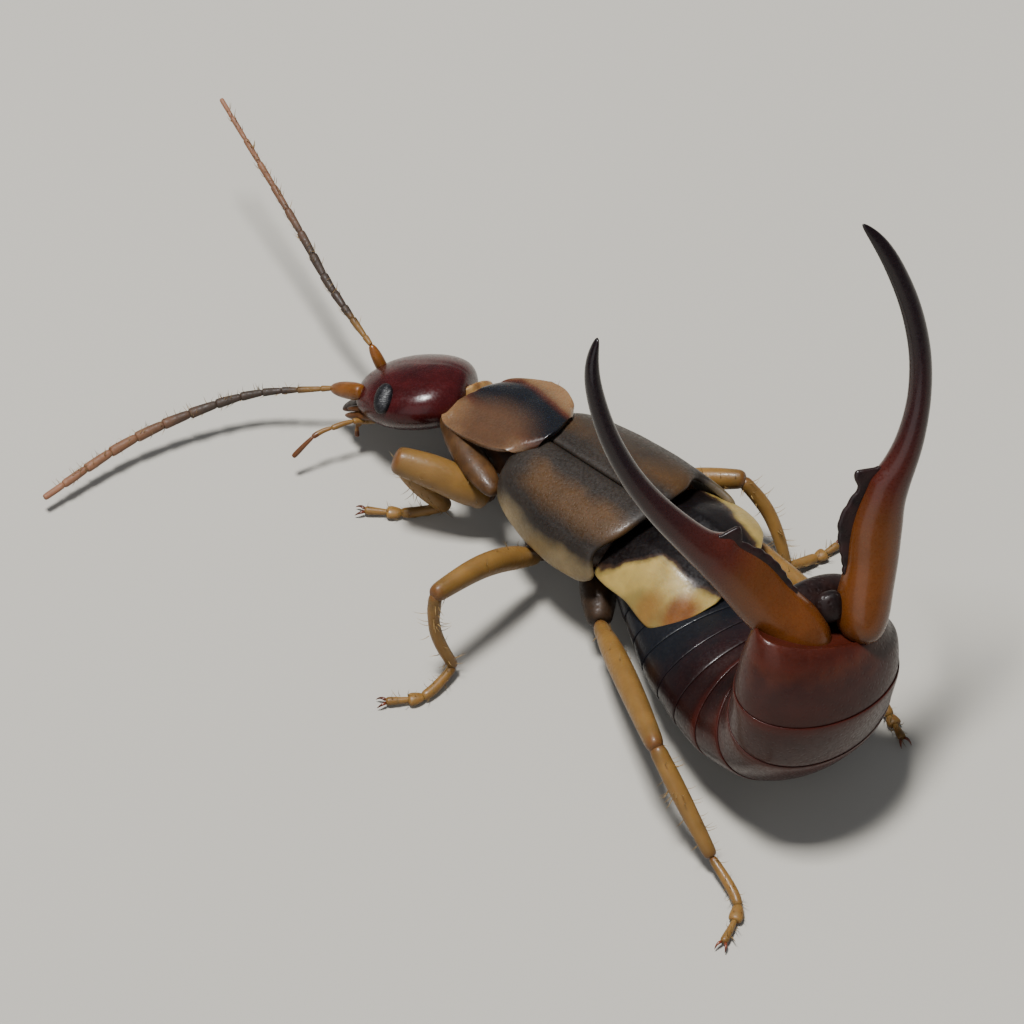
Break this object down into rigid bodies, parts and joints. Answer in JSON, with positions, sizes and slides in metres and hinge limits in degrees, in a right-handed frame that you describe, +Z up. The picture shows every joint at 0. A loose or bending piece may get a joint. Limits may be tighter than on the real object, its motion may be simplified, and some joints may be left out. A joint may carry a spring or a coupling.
{
  "type": "earwig model",
  "caption": "Life-size still model of a male earwig in a threat pose, abdomen curled up with its long curved forceps wide open over the back.",
  "frame": {"origin": "under the middle of the whole animal, at floor level", "axes": "-Y toward the head, +X toward the animal's left, +Z up"},
  "size_m": [0.0096, 0.0176, 0.01],
  "materials": {
    "head": "glossy dark maroon",
    "eye": "glossy black",
    "mouth": "satin orange-brown",
    "feeler": "matt grey-brown",
    "leg": "satin amber yellow",
    "pronotum": "satin blue-black with tan margins",
    "belly": "satin brown",
    "wing_case": "satin translucent-looking grey-brown",
    "wing_tip": "satin cream yellow with a dark inner part",
    "abdomen": "glossy dark red-brown",
    "forceps": "glossy amber-brown to black"
  },
  "bodies": {
    "root": {"head": "head", "labrum": "mouth", "eye_left": "eye", "mandible_left": "mouth", "palp_maxillary_left": "mouth", "palp_labial_left": "mouth", "antenna_left_scape": "leg", "antenna_left_flagellum": "feeler", "elytron_left": "wing_case", "wing_tip_left": "wing_tip", "forceps_left": "forceps", "eye_right": "eye", "mandible_right": "mouth", "palp_maxillary_right": "mouth", "palp_labial_right": "mouth", "antenna_right_scape": "leg", "antenna_right_flagellum": "feeler", "elytron_right": "wing_case", "wing_tip_right": "wing_tip", "forceps_right": "forceps", "pronotum": "pronotum", "prothorax": "belly", "neck": "belly", "mesothorax": "belly", "metathorax": "belly", "pygidium": "abdomen", "abdomen_1": "abdomen", "abdomen_2": "abdomen", "abdomen_3": "abdomen", "abdomen_4": "abdomen", "abdomen_5": "abdomen", "abdomen_6": "abdomen", "abdomen_7": "abdomen", "abdomen_8": "abdomen", "abdomen_9": "abdomen", "abdomen_10": "abdomen", "front_left_coxa": "leg", "front_left_femur": "leg", "front_left_tibia": "leg", "front_left_tarsus": "leg", "front_right_coxa": "leg", "front_right_femur": "leg", "front_right_tibia": "leg", "front_right_tarsus": "leg", "middle_left_coxa": "leg", "middle_left_femur": "leg", "middle_left_tibia": "leg", "middle_left_tarsus": "leg", "middle_right_coxa": "leg", "middle_right_femur": "leg", "middle_right_tibia": "leg", "middle_right_tarsus": "leg", "hind_left_coxa": "leg", "hind_left_femur": "leg", "hind_left_tibia": "leg", "hind_left_tarsus": "leg", "hind_right_coxa": "leg", "hind_right_femur": "leg", "hind_right_tibia": "leg", "hind_right_tarsus": "leg"}
  },
  "joints": []
}
